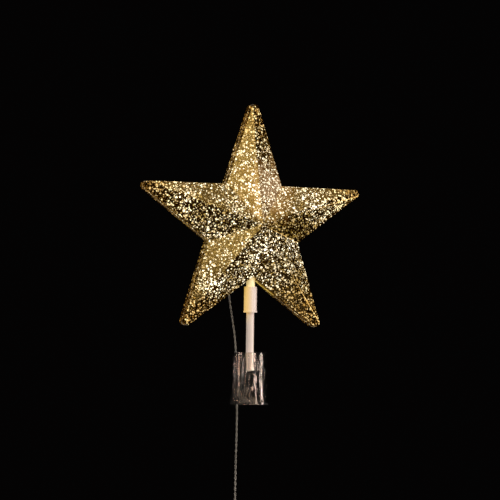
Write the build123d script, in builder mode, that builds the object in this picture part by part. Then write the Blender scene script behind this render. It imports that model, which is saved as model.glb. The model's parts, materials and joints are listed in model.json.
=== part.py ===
"""Lit star for the top of a Christmas tree, on a push-fit stem in a clear holder.

A lead runs from the back of the star to a small battery box that hangs behind the stem.
Millimetres. The origin is on the stem's axis, at the lower end of the straight wall of the holder's socket
for the tree's leading shoot. +Z runs up the stem and the star faces -Y.
"""

import os
from math import asin, atan, atan2, cos, pi, radians, sin, tan

from build123d import *

os.makedirs("parts", exist_ok=True)

# Fits
push_clearance = 0.05  # radial, between a plug and its socket
slide_clearance = 0.15  # each side, between a sliding piece and its guide
seat_clearance = 0.1  # each side, round a piece that drops into a recess

# Star shells
point_count = 5
tip_radius = 100.0  # from the centre to the end of a rounded point
notch_radius = 41.4
tip_round = 3.1
notch_round = 1.0
rim_depth = 5.8  # straight side wall of each half
apex_depth = 24.2  # from the seam to the apex of a half
shell_wall = 1.5
seam_bead = 0.5  # how far the weld bead stands out
seam_bead_width = 0.7  # on each half
seam_lip = 1.8  # how far the front half's lip enters the rear half

# Holder for the tree's leading shoot
leader_radius = 5.0
leader_bore_length = 9.5
mouth_depth = 15.5
mouth_radius = 10.2
holder_wall = 1.4
socket_web = 2.0
socket_depth = 14.9
socket_wall = 2.6
skirt_radius = 14.0
skirt_flare = 1.6
skirt_flare_height = 22.0
skirt_round = 12.0
holder_rib_count = 6
holder_rib = 1.2
holder_rib_setback = 2.5

# Stem, sleeve and neck
stem_radius = 3.15
stem_length = 57.8
stem_chamfer = 0.4
sleeve_radius = 5.25
sleeve_grip = 10.2  # how far the stem enters
sleeve_web = 1.5
sleeve_lip = 0.3
sleeve_lip_height = 1.4
sleeve_round = 0.6
neck_radius = 3.5
neck_bore = 2.3
neck_grip = 9.5  # how far the neck enters the sleeve
neck_show = 8.3  # between the sleeve and the notch
neck_rise = 12.5  # above the notch, inside the star
collar_radius = 6.0
collar_height = 2.5
collar_rise = 6.9  # above the notch
cradle_width = 17.0
cradle_wall = 1.5

# Lamps and their board
lamp_radius = 2.5
lamp_length = 7.6
lamp_flange_radius = 2.95
lamp_flange = 1.0
lamp_stub_radius = 2.2
lamp_stub = 3.0
outer_lamp_radius = 57.0  # from the star's centre, along a point
lamp_neck_gap = 0.4  # between the neck's end and the lamp behind its notch
lamp_seat = 5.6  # depth of the bosses' faces behind the seam
boss_radius = 4.0
wire_radius = 0.55
wire_drop = 1.2  # from the bosses' faces to the wires
hub_radius = 9.0
hub_thickness = 1.2
column_radius = 8.0
column_bore = 5.0
hub_screw_circle = 6.5
screw_radius = 0.9
screw_length = 6.0
screw_head_radius = 1.7
screw_head = 1.1
screw_head_round = 0.35
screw_cross = 2.2  # length of the recess's two slots
screw_cross_width = 0.5
screw_cross_depth = 0.6

# Lead and its grommet
lead_radius = 0.9
pad_radius = 6.5
pad_depth = 23.0  # from the seam to the pad's face
pad_wall = 2.5
grommet_radius = 3.0
grommet_flange_radius = 4.6
grommet_flange = 1.2
grommet_tail_radius = 3.3
grommet_nose_radius = 1.6
grommet_nose_length = 9.0

bend_share = 0.45  # of the shorter run beside a bend, taken up by the bend

# Battery box, hanging on the lead
box_middle = 27.5  # how far behind the stem it hangs
box_drop = 237.0  # from the star's centre to its top
cell_radius = 7.1
cell_length = 49.2
cell_nub_radius = 2.7
cell_nub = 1.0
cell_round = 0.6
cell_gap = 0.8  # between the cells, and all round them
contact_gauge = 0.5
contact_width = 10.0
contact_dimple = 0.9
contact_dimple_radius = 2.5
contact_tab = 3.0
contact_tab_rise = 4.5
leaf_rise = 2.4
leaf_width = 7.0
leaf_land = 2.0
box_wall = 2.0
box_round = 2.6
box_edge = 0.8
partition = 3.0  # between the cells and the switch
cover_skin = 1.0
cover_tongue = 0.8
cover_reach = 0.8  # how far the cover's tongues enter the side walls
cover_overlap = 1.0
grip_count = 5
grip_pitch = 2.6
grip_bar = 1.2
grip_rise = 0.5
grip_width = 14.0
switch_bay_height = 12.0
hatch_post = 5.0  # solid block at each end of the switch bay
hatch_thickness = 1.6
hatch_ledge = 0.8
switch_board = 1.2
switch_board_ledge = 1.6
switch_width = 12.0
switch_height = 6.0
switch_travel = 4.0
knob_width = 4.0
knob_height = 2.6
knob_rise = 2.2
knob_foot = 2.0
knob_edge = 0.4
boot_radius = 3.2
boot_plug_radius = 2.4
boot_flange = 1.2
boot_length = 7.0
boot_nose_radius = 1.7
lead_entry = 5.0  # how far the lead runs into the switch bay

# Levels up the stem, worked out from the lengths
socket_floor = leader_bore_length + socket_web
holder_top = socket_floor + socket_depth
stem_top = socket_floor + stem_length
sleeve_bottom = stem_top - sleeve_grip
neck_bottom = stem_top + sleeve_web
sleeve_top = neck_bottom + neck_grip
notch_height = sleeve_top + neck_show
star_height = notch_height + notch_radius

# Planes through the star's centre, facing forwards and backwards
front_plane = Plane(origin=(0, 0, star_height), x_dir=(1, 0, 0), z_dir=(0, -1, 0))
rear_plane = Plane(origin=(0, 0, star_height), x_dir=(-1, 0, 0), z_dir=(0, 1, 0))

# Geometry of the star's edges, whose lines all pass the centre at one distance
half_step = radians(180 / point_count)
tip_centre = tip_radius - tip_round
notch_across = notch_radius * sin(half_step)
notch_along = notch_radius * cos(half_step)
to_tip_centre = atan2(notch_across, tip_centre - notch_along)
tip_distance = ((tip_centre - notch_along) ** 2 + notch_across**2) ** 0.5
tip_half_angle = to_tip_centre - asin(tip_round / tip_distance)
sharp_tip = notch_along + notch_across / tan(tip_half_angle)
edge_distance = sharp_tip * sin(tip_half_angle)
facet_slope = atan((apex_depth - rim_depth) / edge_distance)
inner_rim_depth = rim_depth - shell_wall * (1 / cos(facet_slope) - tan(facet_slope))
inner_apex_depth = apex_depth - shell_wall / cos(facet_slope)


def star_profile(plane, inset):
    """The star's outline with its edges moved in by inset, points and notches rounded to match."""
    share = 1 - inset / edge_distance
    corners = []
    for step in range(2 * point_count):
        reach = share * (notch_radius if step % 2 else sharp_tip)
        turn = radians(90) + step * half_step
        corners.append((reach * cos(turn), reach * sin(turn)))
    with BuildSketch(plane, mode=Mode.PRIVATE) as profile:
        with BuildLine():
            Polyline(*corners, close=True)
        make_face()
        fillet(profile.vertices().sort_by_distance((0, 0))[-point_count:], tip_round - inset)
        fillet(profile.vertices().sort_by_distance((0, 0))[:point_count], notch_round + inset)
    return profile.sketch


def star_half(plane, inset, wall_depth, peak_depth):
    """A solid half of the star: its straight side wall, then ten facets that rise to the apex."""
    with BuildPart(mode=Mode.PRIVATE) as half:
        extrude(star_profile(plane, inset), amount=wall_depth)
        crown = star_profile(plane.offset(wall_depth), inset)
        loft([crown.face(), Vertex(*plane.offset(peak_depth).origin)], ruled=True)
    return half.part


def save(builder, name):
    """Label the finished piece and write it."""
    builder.part.label = name
    export_step(builder.part, f"parts/{name}.step")


# Cradle plates that hold the neck's collar between the two shells
collar_bottom = notch_height + collar_rise
collar_top = collar_bottom + collar_height
with BuildPart() as cradle:
    for level in (collar_bottom - cradle_wall, collar_top + seat_clearance):
        with BuildSketch(Plane.XY.offset(level)):
            Rectangle(cradle_width, 2 * apex_depth)
        extrude(amount=cradle_wall)

with BuildPart() as neck_passage:
    with BuildSketch(Plane.XY.offset(sleeve_top)):
        Circle(neck_radius + push_clearance)
    extrude(amount=neck_show + neck_rise + cradle_wall)

# Front shell
front_outer = star_half(front_plane, 0, rim_depth, apex_depth)
front_inner = star_half(front_plane, shell_wall, inner_rim_depth, inner_apex_depth)
lip_inset = shell_wall / 2
with BuildPart() as front_cradle:
    add(front_outer)
    add(cradle.part, mode=Mode.INTERSECT)

with BuildPart() as front_shell:
    add(front_outer)
    extrude(star_profile(front_plane, -seam_bead), amount=seam_bead_width)
    add(front_inner, mode=Mode.SUBTRACT)
    extrude(star_profile(front_plane, lip_inset + push_clearance), amount=-seam_lip)
    extrude(star_profile(front_plane, shell_wall), amount=-seam_lip, mode=Mode.SUBTRACT)
    add(front_cradle.part)
    add(neck_passage.part, mode=Mode.SUBTRACT)
save(front_shell, "front_shell")

# Places of the lamps: one in each point and one behind each notch, clear of the neck's end
inner_lamp_radius = notch_radius - neck_rise - lamp_neck_gap - lamp_radius
lamp_places = []
for arm in range(point_count):
    lamp_places.append((outer_lamp_radius, 90 + arm * 360 / point_count))
    lamp_places.append((inner_lamp_radius, 90 + (arm + 0.5) * 360 / point_count))
lamp_face = rear_plane.offset(lamp_seat)
wire_level = lamp_seat + wire_drop
hub_front = wire_level - hub_thickness / 2
hub_back = wire_level + hub_thickness / 2

rear_outer = star_half(rear_plane, 0, rim_depth, apex_depth)
rear_inner = star_half(rear_plane, shell_wall, inner_rim_depth, inner_apex_depth)

# Bosses for the lamps and the column that carries the hub board
with BuildPart() as rear_bosses:
    with BuildSketch(lamp_face):
        for reach, turn in lamp_places:
            with PolarLocations(reach, 1, start_angle=turn):
                Circle(boss_radius)
    extrude(amount=apex_depth)
    with BuildSketch(rear_plane.offset(hub_back)):
        Circle(column_radius)
    extrude(amount=apex_depth)
    add(rear_outer, mode=Mode.INTERSECT)

# Rear shell
with BuildPart() as rear_cradle:
    add(rear_outer)
    add(cradle.part, mode=Mode.INTERSECT)

with BuildPart() as rear_shell:
    add(rear_outer)
    extrude(star_profile(rear_plane, -seam_bead), amount=seam_bead_width)
    add(rear_inner, mode=Mode.SUBTRACT)
    extrude(star_profile(rear_plane, lip_inset), amount=seam_lip + push_clearance, mode=Mode.SUBTRACT)
    add(rear_cradle.part)
    add(neck_passage.part, mode=Mode.SUBTRACT)
    add(rear_bosses.part)
    with BuildSketch(rear_plane.offset(pad_depth)):
        Circle(pad_radius)
    extrude(amount=rim_depth - pad_depth)
    with BuildSketch(rear_plane.offset(pad_depth)):
        Circle(2 * pad_radius)
    extrude(amount=apex_depth, mode=Mode.SUBTRACT)
    with BuildSketch(rear_plane):
        Circle(column_bore)
    extrude(amount=pad_depth - pad_wall, mode=Mode.SUBTRACT)
    with BuildSketch(rear_plane):
        Circle(column_radius)
    extrude(amount=hub_back, mode=Mode.SUBTRACT)
    with BuildSketch(rear_plane):
        with PolarLocations(hub_screw_circle, 2):
            Circle(screw_radius + push_clearance)
    extrude(amount=hub_back + screw_length, mode=Mode.SUBTRACT)
    with BuildSketch(rear_plane):
        Circle(grommet_radius)
    extrude(amount=pad_depth, mode=Mode.SUBTRACT)
    with BuildSketch(lamp_face):
        for reach, turn in lamp_places:
            with PolarLocations(reach, 1, start_angle=turn):
                Circle(lamp_stub_radius + push_clearance)
    extrude(amount=lamp_stub + seat_clearance, mode=Mode.SUBTRACT)
    with BuildSketch(lamp_face):
        for reach, turn in lamp_places:
            with PolarLocations(reach - boss_radius / 2, 1, start_angle=turn):
                Rectangle(boss_radius + seat_clearance, 2 * (wire_radius + seat_clearance))
    extrude(amount=wire_drop + wire_radius + seat_clearance, mode=Mode.SUBTRACT)
save(rear_shell, "rear_shell")

# Neck tube, gripped by its collar between the shells
with BuildPart() as neck_tube:
    with BuildSketch(Plane.XY.offset(neck_bottom)):
        Circle(neck_radius)
    extrude(amount=neck_grip + neck_show + neck_rise)
    with BuildSketch(Plane.XY.offset(collar_bottom)):
        Circle(collar_radius)
    extrude(amount=collar_height)
    with BuildSketch(Plane.XY.offset(neck_bottom)):
        Circle(neck_bore)
    extrude(amount=neck_grip + neck_show + neck_rise, mode=Mode.SUBTRACT)
    chamfer(neck_tube.edges().group_by(Axis.Z)[0].sort_by(SortBy.RADIUS)[-1], stem_chamfer)
save(neck_tube, "neck_tube")

# Sleeve that joins the neck to the stem
with BuildPart() as sleeve:
    with BuildSketch(Plane.XY.offset(sleeve_bottom)):
        Circle(sleeve_radius)
    extrude(amount=sleeve_top - sleeve_bottom)
    fillet(sleeve.edges().group_by(Axis.Z)[-1], sleeve_round)
    with BuildSketch(Plane.XY.offset(sleeve_bottom)):
        Circle(sleeve_radius + sleeve_lip)
    extrude(amount=sleeve_lip_height)
    with BuildSketch(Plane.XY.offset(sleeve_bottom)):
        Circle(stem_radius + push_clearance)
    extrude(amount=sleeve_grip, mode=Mode.SUBTRACT)
    with BuildSketch(Plane.XY.offset(neck_bottom)):
        Circle(neck_radius + push_clearance)
    extrude(amount=neck_grip, mode=Mode.SUBTRACT)
save(sleeve, "sleeve")

# Stem
with BuildPart() as stem:
    with BuildSketch(Plane.XY.offset(socket_floor)):
        Circle(stem_radius)
    extrude(amount=stem_length)
    chamfer(stem.edges().filter_by(GeomType.CIRCLE), stem_chamfer)
save(stem, "stem")

# Clear holder: a core with the stem's socket above and the shoot's socket below, ribs, and a flared skirt
core_top_radius = stem_radius + push_clearance + socket_wall
skirt_waist = skirt_flare_height - mouth_depth
with BuildPart() as tree_holder:
    with BuildSketch(Plane.XZ):
        with BuildLine():
            core_side = Line((core_top_radius, holder_top), (leader_radius + holder_wall, 0))
            core_rim = (mouth_radius + holder_wall, -mouth_depth)
            core_bell = TangentArc(core_side @ 1, core_rim, tangent=(0, -1))
            Polyline(core_bell @ 1, (0, -mouth_depth), (0, holder_top), core_side @ 0)
        make_face()
    revolve(axis=Axis.Z)
    with BuildSketch(Plane.XY.offset(holder_rib_setback - mouth_depth)):
        with PolarLocations(skirt_radius / 2, holder_rib_count):
            Rectangle(skirt_radius - holder_wall, holder_rib)
    extrude(amount=holder_top + mouth_depth - 2 * holder_rib_setback)
    with BuildSketch(Plane.XZ):
        with BuildLine():
            FilletPolyline(
                (skirt_radius, holder_top),
                (skirt_radius, skirt_waist),
                (skirt_radius + skirt_flare, -mouth_depth),
                radius=skirt_round,
            )
            FilletPolyline(
                (skirt_radius - holder_wall, holder_top),
                (skirt_radius - holder_wall, skirt_waist),
                (skirt_radius - holder_wall + skirt_flare, -mouth_depth),
                radius=skirt_round,
            )
            Line((skirt_radius, holder_top), (skirt_radius - holder_wall, holder_top))
            Line(
                (skirt_radius + skirt_flare, -mouth_depth),
                (skirt_radius - holder_wall + skirt_flare, -mouth_depth),
            )
        make_face()
    revolve(axis=Axis.Z)
    with BuildSketch(Plane.XZ):
        with BuildLine():
            bore_side = Line((leader_radius, leader_bore_length), (leader_radius, 0))
            bore_bell = TangentArc(bore_side @ 1, (mouth_radius, -mouth_depth), tangent=(0, -1))
            Polyline(bore_bell @ 1, (0, -mouth_depth), (0, leader_bore_length), bore_side @ 0)
        make_face()
    revolve(axis=Axis.Z, mode=Mode.SUBTRACT)
    with BuildSketch(Plane.XY.offset(socket_floor)):
        Circle(stem_radius + push_clearance)
    extrude(amount=socket_depth, mode=Mode.SUBTRACT)
save(tree_holder, "tree_holder")

# Lamps, and the wire from the hub board to each
for number, (reach, turn) in enumerate(lamp_places, start=1):
    across, up = cos(radians(turn)), sin(radians(turn))
    lamp_centre = lamp_face.from_local_coords((reach * across, reach * up, 0))
    dome_start = lamp_length - lamp_radius
    with BuildPart() as lamp:
        with BuildSketch(Plane(origin=lamp_centre, x_dir=(1, 0, 0), z_dir=(0, 0, -1))):
            with BuildLine():
                Polyline(
                    (0, lamp_length),
                    (0, -lamp_stub),
                    (lamp_stub_radius, -lamp_stub),
                    (lamp_stub_radius, 0),
                    (lamp_flange_radius, 0),
                    (lamp_flange_radius, lamp_flange),
                    (lamp_radius, lamp_flange),
                    (lamp_radius, dome_start),
                )
                CenterArc((0, dome_start), lamp_radius, start_angle=0, arc_size=90)
            make_face()
        revolve(axis=Axis(lamp_centre, front_plane.z_dir))
    save(lamp, f"lamp_{number:02d}")

    wire_plane = Plane(
        origin=rear_plane.from_local_coords((hub_radius * across, hub_radius * up, wire_level)),
        z_dir=rear_plane.x_dir * across + rear_plane.y_dir * up,
    )
    with BuildPart() as lamp_wire:
        with BuildSketch(wire_plane):
            Circle(wire_radius)
        extrude(amount=reach - lamp_stub_radius - push_clearance - hub_radius)
    save(lamp_wire, f"lamp_wire_{number:02d}")

# Hub board on its column, with its two screws
with BuildPart() as hub_board:
    with BuildSketch(rear_plane.offset(hub_front)):
        Circle(hub_radius)
        with PolarLocations(hub_screw_circle, 2):
            Circle(screw_radius + push_clearance, mode=Mode.SUBTRACT)
    extrude(amount=hub_thickness)
save(hub_board, "hub_board")

with BuildPart() as hub_screws:
    with BuildSketch(rear_plane.offset(hub_front)):
        with PolarLocations(hub_screw_circle, 2):
            Circle(screw_radius)
    extrude(amount=screw_length)
    with BuildSketch(rear_plane.offset(hub_front)):
        with PolarLocations(hub_screw_circle, 2):
            Circle(screw_head_radius)
    extrude(amount=-screw_head)
    fillet(hub_screws.edges().group_by(Axis.Y)[0], screw_head_round)
    with BuildSketch(rear_plane.offset(hub_front - screw_head)):
        with PolarLocations(hub_screw_circle, 2):
            Rectangle(screw_cross, screw_cross_width)
            Rectangle(screw_cross_width, screw_cross)
    extrude(amount=screw_cross_depth, mode=Mode.SUBTRACT)
save(hub_screws, "hub_screws")

# Grommet in the pad at the rear apex, with a tapered nose round the lead
grommet_end = pad_depth + grommet_flange + grommet_nose_length
grommet_plane = Plane(origin=(0, 0, star_height), x_dir=(1, 0, 0), z_dir=(0, 0, 1))
with BuildPart() as grommet:
    with BuildSketch(grommet_plane):
        with BuildLine():
            Polyline(
                (lead_radius + push_clearance, pad_depth - pad_wall - grommet_flange),
                (grommet_flange_radius, pad_depth - pad_wall - grommet_flange),
                (grommet_flange_radius, pad_depth - pad_wall),
                (grommet_radius - push_clearance, pad_depth - pad_wall),
                (grommet_radius - push_clearance, pad_depth),
                (grommet_flange_radius, pad_depth),
                (grommet_flange_radius, pad_depth + grommet_flange),
                (grommet_tail_radius, pad_depth + grommet_flange),
                (grommet_nose_radius, grommet_end),
                (lead_radius + push_clearance, grommet_end),
                close=True,
            )
        make_face()
    revolve(axis=Axis((0, 0, star_height), (0, 1, 0)))
save(grommet, "grommet")

# Stretch of the lead that the grommet holds
with BuildPart() as lead_tail:
    with BuildSketch(rear_plane.offset(hub_back)):
        Circle(lead_radius)
    extrude(amount=grommet_end - hub_back)
save(lead_tail, "lead_tail")

# Free lead: out of the grommet, down behind the star and the holder, into the battery box
box_top = star_height - box_drop
lead_end = box_top - box_wall - lead_entry
lead_route = [
    (0.0, grommet_end, star_height),
    (0.0, 41.0, star_height - 0.8),
    (0.3, 48.5, star_height - 9.0),
    (0.5, 51.5, star_height - 23.0),
    (0.4, 50.5, star_height - 40.0),
    (0.0, 46.0, star_height - 57.0),
    (-0.5, 38.5, star_height - 72.0),
    (-0.6, 31.5, star_height - 88.0),
    (-0.3, 27.8, star_height - 106.0),
    (0.2, 26.6, star_height - 130.0),
    (0.6, 26.8, star_height - 165.0),
    (0.0, box_middle, star_height - 201.0),
    (0.0, box_middle, lead_end),
]
lead_points = [Vector(*point) for point in lead_route]
lead_runs = [after - before for before, after in zip(lead_points, lead_points[1:])]
lead_bends = []
for before, after in zip(lead_runs, lead_runs[1:]):
    shorter_run = min(before.length, after.length)
    half_turn = radians(before.get_angle(after)) / 2
    lead_bends.append(bend_share * shorter_run / tan(half_turn))
print("lead bend radii, mm:", [round(bend, 1) for bend in lead_bends])

with BuildPart() as lead:
    with BuildLine() as lead_path:
        FilletPolyline(*lead_points, radius=lead_bends)
    with BuildSketch(rear_plane.offset(grommet_end)):
        Circle(lead_radius)
    sweep(path=lead_path.line)
lead_length = sum(edge.length for edge in lead_path.edges())
lead_share = lead.part.volume / (pi * lead_radius**2 * lead_length)
print("lead length, mm:", round(lead_length, 1), "volume over section times length:", round(lead_share, 4))
save(lead, "lead")

# Battery box, worked out from its cells
cell_across = cell_radius + cell_gap / 2
bay_width = 4 * cell_radius + 3 * cell_gap
bay_height = contact_gauge + leaf_rise + cell_length + cell_nub + contact_dimple + contact_gauge
box_width = bay_width + 2 * box_wall
box_depth = box_wall + 2 * cell_radius + cell_gap + cover_skin + cover_tongue
box_height = box_wall + bay_height + partition + switch_bay_height + box_wall
box_bottom = box_top - box_height
box_front = box_middle - box_depth / 2
box_back = box_middle + box_depth / 2
bay_floor = box_bottom + box_wall
bay_top = bay_floor + bay_height
cell_depth = box_front + box_wall + cell_gap / 2 + cell_radius
switch_floor = bay_top + partition
switch_centre = switch_floor + switch_bay_height / 2
switch_bay_width = bay_width - 2 * hatch_post
board_back = box_middle - lead_radius - push_clearance
board_front = board_back - switch_board
window_width = knob_width + switch_travel + 2 * slide_clearance
window_height = knob_height + 2 * slide_clearance
hatch_screw_reach = (bay_width - hatch_post) / 2
cover_top = bay_top + cover_overlap

box_plane = Plane(origin=(0, box_middle, box_bottom))
back_face = Plane(origin=(0, box_back, switch_centre), x_dir=(-1, 0, 0), z_dir=(0, 1, 0))
front_face = Plane(origin=(0, box_front, switch_centre), x_dir=(1, 0, 0), z_dir=(0, -1, 0))


def cover_profile(plane, grow):
    """Section across the battery cover: its skin and the wider tongues under it, grown for its guide."""
    skin_width = bay_width - 2 * slide_clearance
    back = box_depth / 2
    with BuildSketch(plane, mode=Mode.PRIVATE) as profile:
        with Locations((0, back)):
            Rectangle(skin_width + 2 * grow, cover_skin + grow, align=(Align.CENTER, Align.MAX))
        with Locations((0, back - cover_skin + grow)):
            Rectangle(
                skin_width + 2 * (cover_reach + grow),
                cover_tongue + 2 * grow,
                align=(Align.CENTER, Align.MAX),
            )
    return profile.sketch


with BuildPart() as battery_case:
    with BuildSketch(box_plane):
        RectangleRounded(box_width, box_depth, box_round)
    extrude(amount=box_height)
    ends = battery_case.faces().filter_by(Axis.Z)
    fillet(ends.edges(), box_edge)
    with BuildSketch(box_plane.offset(box_wall)):
        with Locations((0, box_wall - box_depth / 2)):
            Rectangle(bay_width, box_depth, align=(Align.CENTER, Align.MIN))
    extrude(amount=bay_height, mode=Mode.SUBTRACT)
    extrude(
        cover_profile(box_plane, slide_clearance),
        amount=cover_top - box_bottom + slide_clearance,
        mode=Mode.SUBTRACT,
    )
    with BuildSketch(back_face):
        Rectangle(bay_width, switch_bay_height + 2 * hatch_ledge)
    extrude(amount=-hatch_thickness, mode=Mode.SUBTRACT)
    with BuildSketch(back_face):
        Rectangle(switch_bay_width, switch_bay_height)
    extrude(amount=board_front - box_back, mode=Mode.SUBTRACT)
    with BuildSketch(back_face):
        Rectangle(switch_bay_width - 2 * switch_board_ledge, switch_bay_height - 2 * switch_board_ledge)
    extrude(amount=box_front + box_wall - box_back, mode=Mode.SUBTRACT)
    with BuildSketch(front_face):
        Rectangle(window_width, window_height)
    extrude(amount=-box_wall, mode=Mode.SUBTRACT)
    with BuildSketch(back_face):
        with Locations((-hatch_screw_reach, 0), (hatch_screw_reach, 0)):
            Circle(screw_radius + push_clearance)
    extrude(amount=-screw_length - hatch_thickness, mode=Mode.SUBTRACT)
    with BuildSketch(box_plane.offset(box_height)):
        Circle(boot_plug_radius + push_clearance)
    extrude(amount=-box_wall, mode=Mode.SUBTRACT)
    with BuildSketch(Plane.XY.offset(bay_top)):
        with Locations((-cell_across, board_back), (cell_across, board_back)):
            Rectangle(
                contact_tab + 2 * seat_clearance,
                2 * (contact_gauge + seat_clearance),
            )
    extrude(amount=partition, mode=Mode.SUBTRACT)
save(battery_case, "battery_case")

# Sliding battery cover with grip bars
with BuildPart() as battery_cover:
    extrude(cover_profile(box_plane, 0), amount=cover_top - box_bottom)
    with BuildSketch(Plane(origin=(0, box_back, bay_floor), x_dir=(-1, 0, 0), z_dir=(0, 1, 0))):
        with Locations((0, grip_count * grip_pitch)):
            with GridLocations(grip_width, grip_pitch, 1, grip_count):
                SlotOverall(grip_width, grip_bar)
    extrude(amount=grip_rise)
save(battery_cover, "battery_cover")

# Hatch over the switch, with its screws
with BuildPart() as switch_hatch:
    with BuildSketch(back_face):
        Rectangle(
            bay_width - 2 * seat_clearance,
            switch_bay_height + 2 * (hatch_ledge - seat_clearance),
        )
        with Locations((-hatch_screw_reach, 0), (hatch_screw_reach, 0)):
            Circle(screw_radius + push_clearance, mode=Mode.SUBTRACT)
    extrude(amount=-hatch_thickness)
save(switch_hatch, "switch_hatch")

with BuildPart() as hatch_screws:
    with BuildSketch(back_face):
        with Locations((-hatch_screw_reach, 0), (hatch_screw_reach, 0)):
            Circle(screw_radius)
    extrude(amount=-screw_length)
    with BuildSketch(back_face):
        with Locations((-hatch_screw_reach, 0), (hatch_screw_reach, 0)):
            Circle(screw_head_radius)
    extrude(amount=screw_head)
    fillet(hatch_screws.edges().group_by(Axis.Y)[-1], screw_head_round)
    with BuildSketch(back_face.offset(screw_head)):
        with Locations((-hatch_screw_reach, 0), (hatch_screw_reach, 0)):
            Rectangle(screw_cross, screw_cross_width)
            Rectangle(screw_cross_width, screw_cross)
    extrude(amount=-screw_cross_depth, mode=Mode.SUBTRACT)
save(hatch_screws, "hatch_screws")

# Switch board, the slide switch on it and the knob in its window
with BuildPart() as timer_board:
    with BuildSketch(Plane(origin=(0, board_front, switch_centre), x_dir=(-1, 0, 0), z_dir=(0, 1, 0))):
        Rectangle(switch_bay_width - 2 * seat_clearance, switch_bay_height - 2 * seat_clearance)
    extrude(amount=switch_board)
save(timer_board, "timer_board")

switch_depth = board_front - box_front - box_wall
with BuildPart() as switch_body:
    with BuildSketch(front_face.offset(-box_wall)):
        Rectangle(switch_width, switch_height)
    extrude(amount=-switch_depth)
    with BuildSketch(front_face.offset(-box_wall)):
        Rectangle(window_width, window_height)
    extrude(amount=-knob_foot - slide_clearance, mode=Mode.SUBTRACT)
save(switch_body, "switch_body")

with BuildPart() as switch_knob:
    with BuildSketch(front_face.offset(-box_wall - knob_foot)):
        with Locations((switch_travel / 2, 0)):
            Rectangle(knob_width, knob_height)
    extrude(amount=knob_foot + box_wall + knob_rise)
    chamfer(switch_knob.faces().sort_by(Axis.Y)[0].edges(), knob_edge)
save(switch_knob, "switch_knob")

# Boot where the lead enters the box
with BuildPart() as lead_boot:
    with BuildSketch(Plane(origin=(0, box_middle, box_top), x_dir=(1, 0, 0), z_dir=(0, -1, 0))):
        with BuildLine():
            Polyline(
                (lead_radius + push_clearance, -box_wall),
                (boot_plug_radius, -box_wall),
                (boot_plug_radius, 0),
                (boot_radius, 0),
                (boot_radius, boot_flange),
                (boot_nose_radius, boot_length),
                (lead_radius + push_clearance, boot_length),
                close=True,
            )
        make_face()
    revolve(axis=Axis((0, box_middle, box_top), (0, 0, 1)))
save(lead_boot, "lead_boot")

# Two cells, one standing on its nub
cell_floor = bay_floor + contact_gauge + leaf_rise
for name, side, nub_up in (("cell_left", -1, True), ("cell_right", 1, False)):
    body_floor = cell_floor if nub_up else cell_floor + cell_nub
    nub_floor = cell_floor + cell_length if nub_up else cell_floor
    with BuildPart() as cell:
        with BuildSketch(Plane(origin=(side * cell_across, cell_depth, body_floor))):
            Circle(cell_radius)
        extrude(amount=cell_length)
        fillet(cell.edges().filter_by(GeomType.CIRCLE), cell_round)
        with BuildSketch(Plane(origin=(side * cell_across, cell_depth, nub_floor))):
            Circle(cell_nub_radius)
        extrude(amount=cell_nub)
    save(cell, name)

# Contacts: one with a tab above each cell, and a bridge with two leaves below them
for name, side in (("contact_left", -1), ("contact_right", 1)):
    contact_plane = Plane(origin=(side * cell_across, cell_depth, bay_top))
    with BuildPart() as contact:
        with BuildSketch(contact_plane):
            Rectangle(contact_width, contact_width)
        extrude(amount=-contact_gauge)
        with BuildSketch(contact_plane):
            Circle(contact_dimple_radius)
        extrude(amount=-contact_gauge - contact_dimple)
        with BuildSketch(contact_plane):
            with Locations((0, board_back - cell_depth)):
                Rectangle(contact_tab, contact_gauge, align=(Align.CENTER, Align.MIN))
        extrude(amount=partition + contact_tab_rise)
    save(contact, name)

with BuildPart() as contact_bridge:
    with BuildSketch(Plane(origin=(0, cell_depth, bay_floor))):
        Rectangle(2 * cell_across + contact_width, contact_width)
    extrude(amount=contact_gauge)
    for side in (-1, 1):
        leaf_plane = Plane(
            origin=(side * cell_across - leaf_width / 2, cell_depth, bay_floor + contact_gauge),
            x_dir=(0, 1, 0),
            z_dir=(1, 0, 0),
        )
        with BuildSketch(leaf_plane):
            with BuildLine():
                Polyline(
                    (-contact_width / 2, 0),
                    (0, leaf_rise),
                    (leaf_land, leaf_rise),
                    (leaf_land, leaf_rise - contact_gauge),
                    (contact_gauge / 2, leaf_rise - contact_gauge),
                    (-contact_width / 2 + 2 * contact_gauge, 0),
                    close=True,
                )
            make_face()
        extrude(amount=leaf_width)
save(contact_bridge, "contact_bridge")
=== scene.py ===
"""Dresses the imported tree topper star: its finishes, its twisted lead, and the studio round it.

Metres, in the part's own frame: +Z up the stem, the star's front towards -Y.
"""

import json
from math import ceil, cos, pi, radians, sin

import bmesh
import bpy
from mathutils import Matrix, Quaternion, Vector


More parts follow.
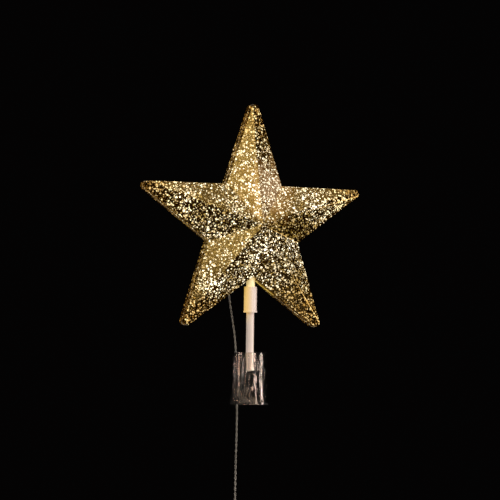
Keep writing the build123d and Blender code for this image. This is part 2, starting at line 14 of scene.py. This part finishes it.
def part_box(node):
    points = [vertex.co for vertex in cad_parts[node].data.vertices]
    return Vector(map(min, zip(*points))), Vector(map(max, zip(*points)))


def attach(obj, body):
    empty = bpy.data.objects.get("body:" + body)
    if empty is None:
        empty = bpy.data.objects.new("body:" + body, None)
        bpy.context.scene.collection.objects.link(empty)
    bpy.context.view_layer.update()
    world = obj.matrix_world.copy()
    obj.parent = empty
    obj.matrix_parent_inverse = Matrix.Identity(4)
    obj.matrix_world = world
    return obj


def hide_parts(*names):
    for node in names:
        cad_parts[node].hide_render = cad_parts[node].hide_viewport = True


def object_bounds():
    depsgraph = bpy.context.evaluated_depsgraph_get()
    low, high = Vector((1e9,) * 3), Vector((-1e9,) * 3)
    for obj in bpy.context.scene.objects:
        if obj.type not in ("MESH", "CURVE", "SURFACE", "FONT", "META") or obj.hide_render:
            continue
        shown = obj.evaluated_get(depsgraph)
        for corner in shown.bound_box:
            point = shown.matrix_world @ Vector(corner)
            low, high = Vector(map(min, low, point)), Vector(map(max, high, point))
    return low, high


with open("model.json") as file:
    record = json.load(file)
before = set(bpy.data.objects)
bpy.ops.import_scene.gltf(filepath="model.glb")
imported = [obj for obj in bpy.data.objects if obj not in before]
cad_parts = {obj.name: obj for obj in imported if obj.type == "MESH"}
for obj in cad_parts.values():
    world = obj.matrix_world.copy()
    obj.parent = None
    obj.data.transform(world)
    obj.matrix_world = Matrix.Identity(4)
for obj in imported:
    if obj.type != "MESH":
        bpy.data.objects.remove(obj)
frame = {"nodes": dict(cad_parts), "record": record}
cad_low, cad_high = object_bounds()
nodes = frame["nodes"]
mm = 0.001


def middle(node):
    """The middle of a CAD node's box."""
    low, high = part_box(node)
    return (low + high) / 2


# Places read from the frame
hub = middle("hub_board")
star_centre = Vector((hub.x, 0, hub.z))
star_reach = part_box("front_shell")[1].z - star_centre.z
sleeve_low, sleeve_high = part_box("sleeve")
neck_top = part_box("neck_tube")[1].z
grommet_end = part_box("grommet")[1].y

# Photograph: a square picture, the pixel of the star's centre and the pixels to a metre there
picture_side = 500
star_pixel = (251.0, 226.2)
pixels_per_metre = 1217
camera_azimuth = radians(-23.13)
camera_elevation = radians(-3.37)
camera_roll = radians(0.70)
camera_distance = 1.5
sensor_width = 36

# The shells' outer faces lie at least this far from the star's centre
outer_skin = 20 * mm

# Keeps a place's X and Z, which the star's front view shows
front_view = Vector((1, 0, 1))

# Flecks in the star's metal coat
flake_cell = 2.6 * mm
fleck_cell = 1.4 * mm
speck_cell = 0.85 * mm
fleck_ragged = 0.5 * mm
fleck_alpha = 0.7
# fleck_gain and coat_gain: strength of the light painted as emission in the flecks and through the coat
fleck_gain = 5.2
coat_gain = 0.015
ridge_round = 0.08 * mm
# cloud_size: size of the slow clouds in the painted light
cloud_size = 15 * mm

# Painted light on the side walls, as a share of the facets' painted light. The walls on the left face
# left_side
wall_share = 0.3
left_wall_share = 0.36
left_side = (-cos(radians(18)), 0, sin(radians(18)))

# Painted shade: the right arm's facets that face dim_side get less of the painted light, up to near its
# tip
dim_side = (sin(radians(36)), 0, -cos(radians(36)))
dim_share = 0.45
dim_from = 10 * mm
dim_fades = 52 * mm
dim_ends = 66 * mm

# Painted light: a hazy patch of glow between the flecks on the front, centred here
haze_place = star_centre + Vector((10, 0, 30)) * mm
haze_gain = 0.055
haze_patch = 9 * mm
haze_ragged = 36 * mm

# Painted light: the neck's light on the weld bead round the star, centred here
rim_place = star_centre + Vector((11, 0, -48)) * mm
rim_gain = 0.8

# Painted spot of light of each lamp on the shell: how far it stands out, its width in millimetres,
# and how many millimetres it lies to the right of the lamp and above it
lamp_spots = (
    (0.30, 11, -8, 0),
    (0.30, 11, -6, 8),
    (0.65, 14, 5, 1),
    (1.20, 4, 8, -8),
    (-0.14, 14, 0, -10),
    (0.55, 8, 5, 6),
    (1.80, 4.5, -6, -3),
    (0.08, 9, -5, 0),
    (0.40, 8, -13, 10),
    (0.24, 11, -2, 4),
)

# Grain of moulded plastic and of metal
plastic_grain = 0.35 * mm
metal_grain = 0.35 * mm

# Twisted lead
lead_diameter = 1.8 * mm
lead_pitch = 9 * mm
strand_sides = 10
lead_rings_per_pitch = 16


class Paint:
    """A material with one Principled shader, and short calls for the nodes that its patterns need."""

    def __init__(self, name, **values):
        self.material = bpy.data.materials.new(name)
        self.material.use_nodes = True
        self.tree = self.material.node_tree
        self.shader = self.tree.nodes["Principled BSDF"]
        coordinates = self.add("ShaderNodeTexCoord").outputs
        self.place = coordinates["Object"]
        self.facing = coordinates["Normal"]
        self.set(**values)

    def set(self, **values):
        """Sets or links the shader's inputs, named with _ for a space."""
        for name, value in values.items():
            self.join(value, self.shader.inputs[name.replace("_", " ")])

    def join(self, value, socket):
        """Links an output to a socket, or sets the socket's own value."""
        if isinstance(value, bpy.types.NodeSocket):
            self.tree.links.new(value, socket)
        else:
            socket.default_value = value

    def add(self, kind, inputs=(), **settings):
        """A new node with these settings and inputs."""
        made = self.tree.nodes.new(kind)
        for name, value in settings.items():
            setattr(made, name, value)
        for key, value in dict(inputs).items():
            self.join(value, made.inputs[key])
        return made

    def math(self, operation, *values):
        """The result of a sum on values."""
        made = self.add("ShaderNodeMath", enumerate(values), operation=operation)
        return made.outputs[0]

    def blend(self, share, first, second):
        """Between two colours."""
        made = self.add("ShaderNodeMix", data_type="RGBA")
        for index, value in zip((0, 6, 7), (share, first, second)):
            self.join(value, made.inputs[index])
        return made.outputs[2]

    def step(self, value, low, high, bottom=0.0, top=1.0):
        """A smooth step from bottom to top as value goes from low to high."""
        inputs = enumerate((value, low, high, bottom, top))
        made = self.add("ShaderNodeMapRange", inputs, interpolation_type="SMOOTHSTEP")
        return made.outputs[0]

    def noise(self, size, detail=2.0, stretch=(1, 1, 1)):
        """Noise with features of about this size. Stretch makes them longer along an axis."""
        place = self.place
        if stretch != (1, 1, 1):
            inputs = {0: place, 1: [1 / amount for amount in stretch]}
            place = self.add("ShaderNodeVectorMath", inputs, operation="MULTIPLY").outputs[0]
        inputs = {"Vector": place, "Scale": 1 / size, "Detail": detail, "Roughness": 0.55}
        return self.add("ShaderNodeTexNoise", inputs).outputs["Fac"]

    def bump(self, height, distance, strength=1.0, round_edges=0.0):
        """A normal raised by height times distance, over edges rounded by this radius."""
        inputs = {"Height": height, "Distance": distance, "Strength": strength}
        if round_edges:
            edges = self.add("ShaderNodeBevel", {"Radius": round_edges}, samples=6)
            inputs["Normal"] = edges.outputs[0]
        return self.add("ShaderNodeBump", inputs).outputs[0]

    def let_lamps_through(self):
        """Makes the surface clear to the lamps' light, so that what is behind it isn't in the dark."""
        sight = self.add("ShaderNodeLightPath")
        clear = self.add("ShaderNodeBsdfTransparent")
        inputs = {0: sight.outputs["Is Shadow Ray"], 1: self.shader.outputs[0], 2: clear.outputs[0]}
        either = self.add("ShaderNodeMixShader", inputs)
        self.tree.links.new(either.outputs[0], self.tree.nodes["Material Output"].inputs["Surface"])

    def distance(self, point, flat=False):
        """The place's distance from a point, or only as much of it as the star's front view shows."""
        place = self.place
        if flat:
            inputs = {0: place, 1: front_view}
            place = self.add("ShaderNodeVectorMath", inputs, operation="MULTIPLY").outputs[0]
            point = point * front_view
        made = self.add("ShaderNodeVectorMath", {0: place, 1: point}, operation="DISTANCE")
        return made.outputs["Value"]

    def towards(self, direction):
        """How far the surface faces a direction."""
        made = self.add("ShaderNodeVectorMath", {0: self.facing, 1: direction}, operation="DOT_PRODUCT")
        return made.outputs["Value"]

    def axes(self, origin=(0, 0, 0)):
        """The place's X, Y and Z from an origin."""
        moved = self.add("ShaderNodeVectorMath", {0: self.place, 1: origin}, operation="SUBTRACT")
        return self.add("ShaderNodeSeparateXYZ", {0: moved.outputs[0]}).outputs


def flakes(paint, cell, least, most):
    """Ragged flakes of the cell's size: where they are, and two random shares for each."""
    cells = paint.add("ShaderNodeTexVoronoi", {"Vector": paint.place, "Scale": 1 / cell})
    chance = paint.add("ShaderNodeSeparateColor", {0: cells.outputs["Color"]}).outputs
    radius = paint.step(chance[0], 0.0, 1.0, least, most)
    ragged = paint.step(paint.noise(fleck_ragged, 1.0), 0.25, 0.75, -0.18, 0.18)
    inside = paint.math("ADD", paint.math("SUBTRACT", radius, cells.outputs["Distance"]), ragged)
    return paint.step(inside, -0.06, 0.10), chance[1], chance[2]


def lamp_glow(paint):
    """Painted light on the shell from each lamp, as strong as its spot shows."""
    total = 0.0
    for number, (share, width, right, up) in enumerate(lamp_spots, 1):
        spot = middle(f"lamp_{number:02d}") + Vector((right, 0, up)) * mm
        square = paint.math("POWER", paint.distance(spot, flat=True), 2.0)
        fall = paint.math("EXPONENT", paint.math("DIVIDE", square, -2 * (width * mm) ** 2))
        total = paint.math("MULTIPLY_ADD", fall, share, total)
    return total


def fleck_gold():
    """Gold mirror coat on a clear shell, open in thousands of flecks that the lamps shine through,
    partly seen through the open flecks and partly painted on them as emission.
    """
    paint = Paint("fleck_gold", Metallic=1.0, Specular_Tint=(1.0, 0.84, 0.60, 1))

    # Flecks in three sizes: least and most radius against the cell, and dullest and brightest light
    open_share, sparkle = 0.0, 0.0
    for cell, least, most, dull, bright in (
        (flake_cell, -1.20, 0.40, 0.4, 1.0),
        (fleck_cell, -0.22, 0.51, 0.3, 1.0),
        (speck_cell, -0.46, 0.42, 0.1, 0.7),
    ):
        where, strength, tone = flakes(paint, cell, least, most)
        lit = paint.math("MULTIPLY", where, paint.step(strength, 0.0, 1.0, dull, bright))
        open_share = paint.math("MAXIMUM", open_share, where)
        sparkle = paint.math("MAXIMUM", sparkle, lit)
    speck_tone = tone

    # Painted light behind the coat, with painted shade on the right arm's facets that face dim_side
    glow = lamp_glow(paint)
    towards_tip = paint.step(paint.distance(star_centre), 0.45 * star_reach, 0.98 * star_reach)
    spread = paint.math("ADD", glow, paint.step(towards_tip, 0.0, 1.0, 0.50, 0.45))
    cloud = paint.noise(cloud_size, 1.0)
    clouded = paint.math("MULTIPLY", spread, paint.step(cloud, 0.3, 0.7, 0.75, 1.2))
    across, depth = paint.axes(star_centre)[:2]
    near_root = paint.step(across, 0.0, dim_from, 1.0, dim_share)
    dimmed = paint.math("MAXIMUM", near_root, paint.step(across, dim_fades, dim_ends))
    faces_dim = paint.towards(dim_side)
    light = paint.math("MULTIPLY", clouded, paint.step(faces_dim, 0.25, 0.4, 1.0, dimmed))

    # Painted light that comes out as emission, in the flecks and in the haze on the front
    left_wall = paint.step(paint.towards(left_side), 0.8, 0.95)
    on_wall = paint.step(left_wall, 0.0, 1.0, wall_share, left_wall_share)
    outward = paint.math("ABSOLUTE", paint.towards((0, 1, 0)))
    on_facet = paint.step(outward, 0.25, 0.45, on_wall, 1.0)
    flash = paint.math("MULTIPLY", sparkle, paint.math("MULTIPLY", light, on_facet))
    on_front = paint.step(depth, -4 * mm, 0.0, 1.0, 0.0)
    patches = paint.noise(haze_patch, 3.0)
    haze_distance = paint.distance(haze_place, flat=True)
    haze_reach = paint.math("MULTIPLY_ADD", patches, -haze_ragged, haze_distance)
    haze = paint.step(haze_reach, -18 * mm, 14 * mm, on_front, 0.0)
    shine = paint.math("MULTIPLY_ADD", haze, haze_gain, flash)

    # Hue of the painted light, browner where it is weak and towards the tips
    rosy = paint.blend(towards_tip, (1.0, 0.83, 0.58, 1), (1.0, 0.68, 0.28, 1))
    lemon = paint.blend(towards_tip, (1.0, 0.97, 0.72, 1), (1.0, 0.92, 0.46, 1))
    pale = paint.blend(paint.step(speck_tone, 0.2, 0.8), rosy, lemon)
    golden = paint.blend(towards_tip, (1.0, 0.60, 0.09, 1), (1.0, 0.46, 0.05, 1))
    brown = paint.blend(paint.step(shine, 0.0, 0.08), (1.0, 0.34, 0.01, 1), golden)
    between = paint.blend(haze, brown, (1.0, 0.57, 0.26, 1))
    hue = paint.blend(paint.step(shine, 0.05, 0.45), between, pale)

    # Painted light in the weld bead, from the lamps and from the neck
    on_bead = paint.step(paint.math("ABSOLUTE", depth), 0.95 * mm, 0.6 * mm)
    bead = paint.math("MULTIPLY", on_bead, paint.step(left_wall, 0.0, 1.0, 1.0, 0.1))
    bead_light = paint.math("MULTIPLY", bead, paint.step(glow, 0.0, 0.5, 0.06, 0.9))
    at_neck = paint.math("MULTIPLY", on_bead, rim_gain)
    neck_light = paint.step(paint.distance(rim_place, flat=True), 4 * mm, 16 * mm, at_neck, 0.0)
    rim_light = paint.math("ADD", bead_light, neck_light)
    through_coat = paint.math("MULTIPLY_ADD", light, coat_gain, rim_light)
    rim_hue = paint.blend(bead, hue, (1.0, 0.76, 0.42, 1))

    mottle = paint.step(paint.noise(0.8 * mm), 0.35, 0.65)
    coat = paint.blend(mottle, (0.035, 0.020, 0.004, 1), (0.220, 0.152, 0.050, 1))
    paint.set(
        Base_Color=paint.blend(open_share, coat, (0.12, 0.09, 0.03, 1)),
        Roughness=paint.step(paint.noise(6 * mm), 0.3, 0.7, 0.11, 0.20),
        Normal=paint.bump(sparkle, 0.02 * mm, 0.5, ridge_round),
        Alpha=paint.step(open_share, 0.0, 1.0, 1.0, fleck_alpha),
        Emission_Color=paint.blend(paint.step(neck_light, 0.0, 0.2), rim_hue, (1.0, 0.70, 0.12, 1)),
        Emission_Strength=paint.math("MULTIPLY_ADD", shine, fleck_gain, through_coat),
    )
    return paint.material


def shell_inside():
    """The shells' clear plastic behind the coat."""
    paint = Paint("shell_inside", Alpha=0.06, Base_Color=(0.80, 0.70, 0.50, 1))
    drift = paint.noise(5 * mm)
    paint.set(Roughness=paint.step(drift, 0.3, 0.7, 0.15, 0.3))
    return paint.material


def moulded(name, colour, roughness, depth=0.012 * mm):
    """Moulded plastic: a fine grain, a slow drift of tone and rounded edges."""
    paint = Paint(name)
    drift = paint.step(paint.noise(14 * mm), 0.3, 0.7)
    darker = [0.95 * part for part in colour[:3]] + [1]
    fine = paint.noise(plastic_grain, 3.0)
    paint.set(
        Base_Color=paint.blend(drift, darker, colour),
        Roughness=paint.step(fine, 0.3, 0.7, roughness - 0.06, roughness + 0.06),
        Normal=paint.bump(fine, depth, 1.0, 0.25 * mm),
    )
    return paint


def white_plastic():
    """Satin white of the stem and the sleeve, with the star's light painted on their left: a yellowed
    base colour and a yellow glow as emission.
    """
    paint = moulded("white_plastic", (0.95, 0.815, 0.75, 1), 0.38)
    # Painted light: near the star the left side glows yellow as emission, and its base colour is
    # yellowed as if lit yellow
    place = paint.axes()
    near = paint.step(place["Z"], sleeve_low.z - 12 * mm, sleeve_low.z + 4 * mm)
    most_lit = paint.math("MULTIPLY", near, 0.44)
    lit = paint.step(place["X"], 0.3 * sleeve_high.x, sleeve_low.x, 0.0, most_lit)
    most_painted_yellow = paint.math("MULTIPLY", near, 0.50)
    painted_yellow_share = paint.step(place["X"], 0.0, sleeve_low.x, 0.0, most_painted_yellow)
    plain = paint.shader.inputs["Base Color"].links[0].from_socket
    paint.set(
        Base_Color=paint.blend(painted_yellow_share, plain, (0.70, 0.46, 0.0, 1)),
        Emission_Color=(1.0, 0.60, 0.08, 1),
        Emission_Strength=lit,
    )
    return paint.material


def milky_plastic():
    """Translucent neck, with the star's light painted in as emission, brightest where it meets the
    star.
    """
    paint = moulded("milky_plastic", (0.93, 0.84, 0.58, 1), 0.3)
    lit = paint.step(paint.axes()["Z"], sleeve_high.z - 6 * mm, neck_top, 0.35, 0.70)
    paint.set(Emission_Color=(1.0, 0.76, 0.30, 1), Emission_Strength=lit)
    return paint.material


def clear_plastic():
    """Polished clear plastic with faint drawn streaks from the mould."""
    paint = Paint("clear_plastic", Base_Color=(0.95, 0.91, 0.88, 1), IOR=1.49, Transmission_Weight=1.0)
    paint.set(Specular_Tint=(1.0, 0.84, 0.76, 1))
    streaks = paint.noise(2.6 * mm, 1.0, stretch=(1, 1, 6))
    paint.set(
        Roughness=paint.step(streaks, 0.35, 0.75, 0.02, 0.06),
        Normal=paint.bump(streaks, 0.55 * mm, 0.6, 0.35 * mm),
    )
    paint.let_lamps_through()
    return paint.material


def lamp_epoxy():
    """Warm white lamp in clear epoxy."""
    paint = Paint("lamp_epoxy", Base_Color=(1.0, 0.93, 0.78, 1), Roughness=0.12)
    core = paint.noise(1.5 * mm)
    paint.set(
        Emission_Color=(1.0, 0.85, 0.55, 1),
        Emission_Strength=paint.step(core, 0.2, 0.8, 2.0, 3.0),
    )
    return paint.material


def lead_sheath():
    """Clear sheath over tinned strands, which show through as a fine lay."""
    paint = Paint("lead_sheath", Metallic=0.25, Coat_Weight=0.5, Coat_Roughness=0.15)
    lay = paint.noise(0.5 * mm, 2.0, stretch=(1, 1, 5))
    strands = paint.step(lay, 0.35, 0.65)
    paint.set(
        Base_Color=paint.blend(strands, (0.12, 0.11, 0.095, 1), (0.30, 0.28, 0.25, 1)),
        Roughness=paint.step(lay, 0.3, 0.7, 0.25, 0.45),
        Normal=paint.bump(lay, 0.04 * mm),
    )
    return paint.material


def metal(name, colour, roughness):
    """Drawn or plated metal with a fine directional grain."""
    paint = Paint(name, Metallic=1.0)
    lines = paint.noise(metal_grain, 3.0, stretch=(1, 12, 1))
    darker = [0.7 * part for part in colour[:3]] + [1]
    paint.set(
        Base_Color=paint.blend(lines, darker, colour),
        Roughness=paint.step(lines, 0.3, 0.7, roughness - 0.08, roughness + 0.1),
        Normal=paint.bump(lines, 0.01 * mm, 1.0, 0.15 * mm),
    )
    return paint.material


def cell_jacket():
    """Plain two-tone jacket of a dry cell: dark below, metallic above."""
    paint = Paint("cell_jacket")
    low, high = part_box("cell_left")
    length = high.z - low.z
    band = paint.step(paint.axes(low)["Z"], 0.68 * length, 0.7 * length)
    speckle = paint.noise(0.5 * mm)
    paint.set(
        Base_Color=paint.blend(band, (0.10, 0.22, 0.16, 1), (0.55, 0.56, 0.56, 1)),
        Metallic=paint.math("MULTIPLY", band, 0.8),
        Roughness=paint.step(speckle, 0.3, 0.7, 0.28, 0.42),
    )
    return paint.material


def circuit_board():
    """Solder mask with faint tracks under it."""
    paint = Paint("circuit_board", Roughness=0.4)
    inputs = {"Vector": paint.place, "Scale": 1 / (2.4 * mm)}
    tracks = paint.add("ShaderNodeTexVoronoi", inputs, distance="MANHATTAN")
    share = paint.step(tracks.outputs["Distance"], 0.4, 0.5)
    paint.set(
        Base_Color=paint.blend(share, (0.03, 0.16, 0.07, 1), (0.05, 0.24, 0.11, 1)),
        Normal=paint.bump(share, 0.03 * mm),
    )
    return paint.material


materials = {
    "fleck_gold": fleck_gold(),
    "milky_plastic": milky_plastic(),
    "white_plastic": white_plastic(),
    "clear_plastic": clear_plastic(),
    "lamp_epoxy": lamp_epoxy(),
    "lead_sheath": lead_sheath(),
    "soft_grey": moulded("soft_grey", (0.74, 0.73, 0.70, 1), 0.6).material,
    "circuit_board": circuit_board(),
    "plated_steel": metal("plated_steel", (0.66, 0.66, 0.66, 1), 0.3),
    "box_plastic": moulded("box_plastic", (0.84, 0.83, 0.80, 1), 0.5, depth=0.03 * mm).material,
    "switch_shell": metal("switch_shell", (0.6, 0.6, 0.6, 1), 0.35),
    "switch_black": moulded("switch_black", (0.03, 0.03, 0.032, 1), 0.45).material,
    "cell_jacket": cell_jacket(),
    "contact_metal": metal("contact_metal", (0.72, 0.71, 0.69, 1), 0.25),
}
for subpart in frame["record"]["subparts"]:
    mesh = nodes[subpart["node"]].data
    mesh.materials.clear()
    mesh.materials.append(materials[subpart["material_slot"]])

# The coat is on the shells' outer faces alone
inside = shell_inside()
for shell in (nodes["front_shell"].data, nodes["rear_shell"].data):
    shell.materials.append(inside)
    for face in shell.polygons:
        face.material_index = int(face.normal.dot(face.center - star_centre) < outer_skin)


# Twisted lead: the route's points are the control points of a smooth spline,
# and two strands wind along it
lead_route = [
    (0.0, grommet_end, star_centre.z),
    (0.0, 0.0410, star_centre.z - 0.0008),
    (0.0003, 0.0485, star_centre.z - 0.0090),
    (0.0005, 0.0515, star_centre.z - 0.0230),
    (0.0004, 0.0505, star_centre.z - 0.0400),
    (0.0, 0.0460, star_centre.z - 0.0570),
    (-0.0005, 0.0385, star_centre.z - 0.0720),
    (-0.0006, 0.0315, star_centre.z - 0.0880),
    (-0.0003, 0.0278, star_centre.z - 0.1060),
    (0.0002, 0.0266, star_centre.z - 0.1300),
    (0.0006, 0.0268, star_centre.z - 0.1650),
    (0.0, 0.0275, star_centre.z - 0.2010),
    (0.0, 0.0275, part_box("lead")[0].z),
]


def spline_points(route):
    """Points along the smooth spline that has the route's points as its control points."""
    curve = bpy.data.curves.new("route", "CURVE")
    curve.dimensions = "3D"
    curve.resolution_u = 24
    spline = curve.splines.new("NURBS")
    spline.points.add(len(route) - 1)
    for point, place in zip(spline.points, route):
        point.co = (*place, 1)
    spline.order_u = 3
    spline.use_endpoint_u = True
    holder = bpy.data.objects.new("route", curve)
    bpy.context.scene.collection.objects.link(holder)
    bpy.context.view_layer.update()
    line = bpy.data.meshes.new_from_object(holder.evaluated_get(bpy.context.evaluated_depsgraph_get()))
    points = [vertex.co.copy() for vertex in line.vertices]
    bpy.data.objects.remove(holder)
    bpy.data.curves.remove(curve)
    bpy.data.meshes.remove(line)
    return points


def line_length(points):
    """Length of a line of points."""
    return sum((after - before).length for before, after in zip(points, points[1:]))


def evenly(points, count):
    """That many points spread evenly along a line of points."""
    lengths = [0.0]
    for before, after in zip(points, points[1:]):
        lengths.append(lengths[-1] + (after - before).length)
    spread, index = [], 0
    for step in range(count):
        goal = lengths[-1] * step / (count - 1)
        while index < len(points) - 2 and lengths[index + 1] < goal:
            index += 1
        run = lengths[index + 1] - lengths[index]
        spread.append(points[index].lerp(points[index + 1], (goal - lengths[index]) / run))
    return spread


def twisted_pair(name, points, diameter, pitch):
    """Two round strands wound round a line of points, as one mesh with closed ends."""
    line = evenly(points, ceil(line_length(points) / pitch * lead_rings_per_pitch))
    radius = diameter / 4
    mesh = bmesh.new()
    side = Vector((1, 0, 0))
    before_each = [line[0]] + line[:-1]
    after_each = line[1:] + [line[-1]]
    directions = [(after - before).normalized() for before, after in zip(before_each, after_each)]
    for strand in (0, pi):
        rings = []
        for index, (centre, along) in enumerate(zip(line, directions)):
            side = (side - along * side.dot(along)).normalized()
            turn = strand + 2 * pi * index / lead_rings_per_pitch
            middle_of_strand = centre + Quaternion(along, turn) @ side * radius
            ring = []
            for corner in range(strand_sides):
                around = Quaternion(along, turn + 2 * pi * corner / strand_sides)
                ring.append(mesh.verts.new(middle_of_strand + around @ side * radius))
            rings.append(ring)
        for before, after in zip(rings, rings[1:]):
            for corner in range(strand_sides):
                following = (corner + 1) % strand_sides
                mesh.faces.new((before[corner], before[following], after[following], after[corner]))
        mesh.faces.new(reversed(rings[0]))
        mesh.faces.new(rings[-1])
    bmesh.ops.recalc_face_normals(mesh, faces=mesh.faces)
    for face in mesh.faces:
        face.smooth = True
    data = bpy.data.meshes.new(name)
    mesh.to_mesh(data)
    mesh.free()
    piece = bpy.data.objects.new(name, data)
    bpy.context.scene.collection.objects.link(piece)
    return piece


lead_line = spline_points(lead_route)
lead_pair = twisted_pair("lead_pair", lead_line, lead_diameter, lead_pitch)
lead_pair.data.materials.append(materials["lead_sheath"])
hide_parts("lead")
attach(lead_pair, "star")


# Studio: a pale floor, its painted pool of light fading into a plain dark backdrop
floor_gap = 0.07  # room for the battery cover to slide off
floor_radius = 3.0
floor_tone = (0.72, 0.71, 0.69, 1)
pale_within = 0.12
dark_beyond = 0.42
backdrop = (0.0012, 0.001, 0.001, 1)
fill_light = (0.72, 0.67, 0.64, 1)


def studio_floor():
    """A round floor under the part, pale where the part's shadow falls: a painted pool of light, fading
    to black round it.
    """
    mesh = bmesh.new()
    bmesh.ops.create_circle(mesh, cap_ends=True, radius=floor_radius, segments=96)
    data = bpy.data.meshes.new("floor")
    mesh.to_mesh(data)
    mesh.free()
    floor = bpy.data.objects.new("floor", data)
    floor.location.z = cad_low.z - floor_gap
    bpy.context.scene.collection.objects.link(floor)
    paint = Paint("floor", Roughness=0.9)
    reach = paint.add("ShaderNodeVectorMath", {0: paint.place}, operation="LENGTH").outputs["Value"]
    # Painted pool of light: the floor's colour fades from pale to black away from the middle
    fade = paint.step(reach, pale_within, dark_beyond)
    paint.set(
        Base_Color=paint.blend(fade, floor_tone, (0, 0, 0, 1)),
        Specular_IOR_Level=0.0,
        Emission_Color=backdrop,
        Emission_Strength=fade,
    )
    data.materials.append(paint.material)


def studio_world():
    """Even fill light, behind a plain backdrop for what the camera, gloss and clear plastic see."""
    world = bpy.data.worlds.new("studio")
    bpy.context.scene.world = world
    world.use_nodes = True
    tree = world.node_tree
    sight = tree.nodes.new("ShaderNodeLightPath")
    seen = sight.outputs["Is Camera Ray"]
    for name in ("Is Glossy Ray", "Is Transmission Ray"):
        either = tree.nodes.new("ShaderNodeMath")
        either.operation = "MAXIMUM"
        tree.links.new(seen, either.inputs[0])
        tree.links.new(sight.outputs[name], either.inputs[1])
        seen = either.outputs[0]
    colour = tree.nodes.new("ShaderNodeMix")
    colour.data_type = "RGBA"
    tree.links.new(seen, colour.inputs[0])
    colour.inputs[6].default_value = fill_light
    colour.inputs[7].default_value = backdrop
    tree.links.new(colour.outputs[2], tree.nodes["Background"].inputs["Color"])


def softbox(name, direction, distance, side, radiance, colour=(1, 1, 1)):
    """A square lamp that faces the star from a direction."""
    data = bpy.data.lights.new(name, "AREA")
    data.shape = "SQUARE"
    data.size = side
    data.energy = 4 * side**2 * radiance
    data.color = colour
    lamp = bpy.data.objects.new(name, data)
    towards = Vector(direction).normalized()
    lamp.location = star_centre + towards * distance
    lamp.rotation_mode = "QUATERNION"
    lamp.rotation_quaternion = towards.to_track_quat("Z", "Y")
    lamp.visible_camera = False
    bpy.context.scene.collection.objects.link(lamp)


studio_floor()
studio_world()

# Each lamp's direction from the star, distance, side, radiance and colour
softbox("key", (-0.455, -0.72, 0.52), 1.13, 0.6, 1.85, (1.0, 0.90, 0.67))
softbox("top", (0.46, -0.43, 0.78), 1.0, 0.6, 0.70, (1.0, 0.86, 0.62))
softbox("front", (0.34, -0.94, 0.05), 1.1, 0.25, 7.0, (1.0, 0.88, 0.80))
softbox("front_right", (0.89, -0.44, -0.12), 1.1, 0.28, 11.0, (1.0, 0.88, 0.82))
softbox("back_left", (-0.90, 0.32, 0.30), 1.1, 0.6, 0.5, (1.0, 0.94, 0.86))
softbox("back_right", (0.60, 0.70, 0.40), 1.1, 0.6, 1.0, (1.0, 0.94, 0.86))


def photograph_camera():
    """The camera at the photograph's angle, with the star's centre on its pixel."""
    back = Vector(
        (
            sin(camera_azimuth) * cos(camera_elevation),
            -cos(camera_azimuth) * cos(camera_elevation),
            sin(camera_elevation),
        )
    )
    right = Vector((cos(camera_azimuth), sin(camera_azimuth), 0))
    up = back.cross(right)
    across = (star_pixel[0] - picture_side / 2) / pixels_per_metre
    above = (picture_side / 2 - star_pixel[1]) / pixels_per_metre
    eye = star_centre + back * camera_distance
    aim = star_centre - right * across - up * above
    look = (eye - aim).normalized()
    level = right - look * right.dot(look)
    turned = Quaternion(look, camera_roll) @ level.normalized()
    data = bpy.data.cameras.new("camera")
    data.sensor_width = sensor_width
    data.lens = pixels_per_metre * camera_distance / picture_side * sensor_width
    camera = bpy.data.objects.new("camera", data)
    turn = Matrix((turned, look.cross(turned), look)).transposed()
    camera.matrix_world = Matrix.Translation(eye) @ turn.to_4x4()
    bpy.context.scene.collection.objects.link(camera)
    bpy.context.scene.camera = camera


photograph_camera()
bpy.context.scene.view_settings.view_transform = "Standard"
